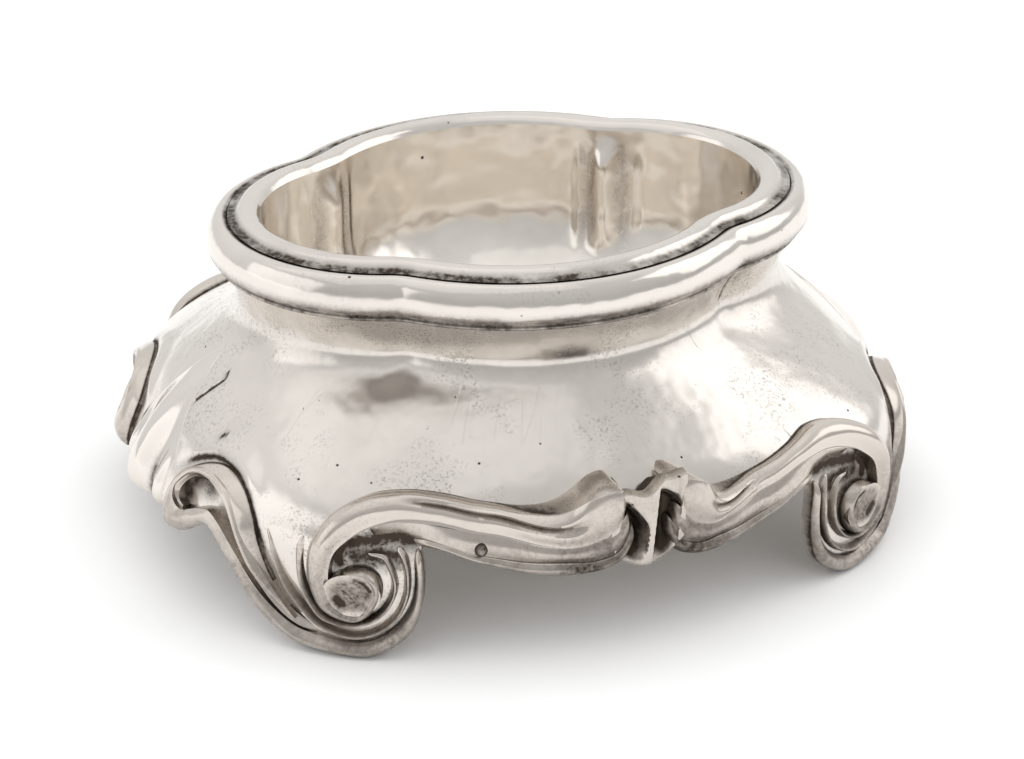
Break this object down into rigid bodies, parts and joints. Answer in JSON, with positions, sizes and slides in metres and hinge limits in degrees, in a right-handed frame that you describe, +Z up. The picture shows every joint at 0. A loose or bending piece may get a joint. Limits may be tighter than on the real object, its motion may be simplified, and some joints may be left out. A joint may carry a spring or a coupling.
{
  "type": "salt cellar",
  "caption": "Open silver salt cellar with a lobed bowl, rounded lip and collar, and a spreading body bordered by scrolls that form the feet; holds table salt.",
  "frame": {"origin": "on the resting plane, under the middle of the bowl", "axes": "+X along the salt's length, -Y towards its front long side, +Z up"},
  "size_m": [0.09, 0.0804, 0.0377],
  "materials": {
    "polished_silver": "polished cast sterling silver, dark tarnish in the crevices",
    "worn_silver": "polished sterling silver, scratched, pitted and rubbed",
    "satin_silver": "satin raised sterling silver, hammered and stained"
  },
  "bodies": {
    "root": {"bowl": "satin_silver", "body_front": "worn_silver", "body_back": "worn_silver", "casting_plug": "worn_silver", "lip_ring": "polished_silver", "collar_front": "polished_silver", "collar_back": "polished_silver", "collar_left": "polished_silver", "collar_right": "polished_silver", "clasp_front": "polished_silver", "clasp_back": "polished_silver", "clasp_left": "polished_silver", "clasp_right": "polished_silver", "scroll_front_left": "polished_silver", "end_scroll_left_front": "polished_silver", "eye_front_left": "polished_silver", "scroll_front_right": "polished_silver", "end_scroll_right_front": "polished_silver", "eye_front_right": "polished_silver", "scroll_back_left": "polished_silver", "end_scroll_left_back": "polished_silver", "eye_back_left": "polished_silver", "scroll_back_right": "polished_silver", "end_scroll_right_back": "polished_silver", "eye_back_right": "polished_silver"}
  },
  "joints": []
}
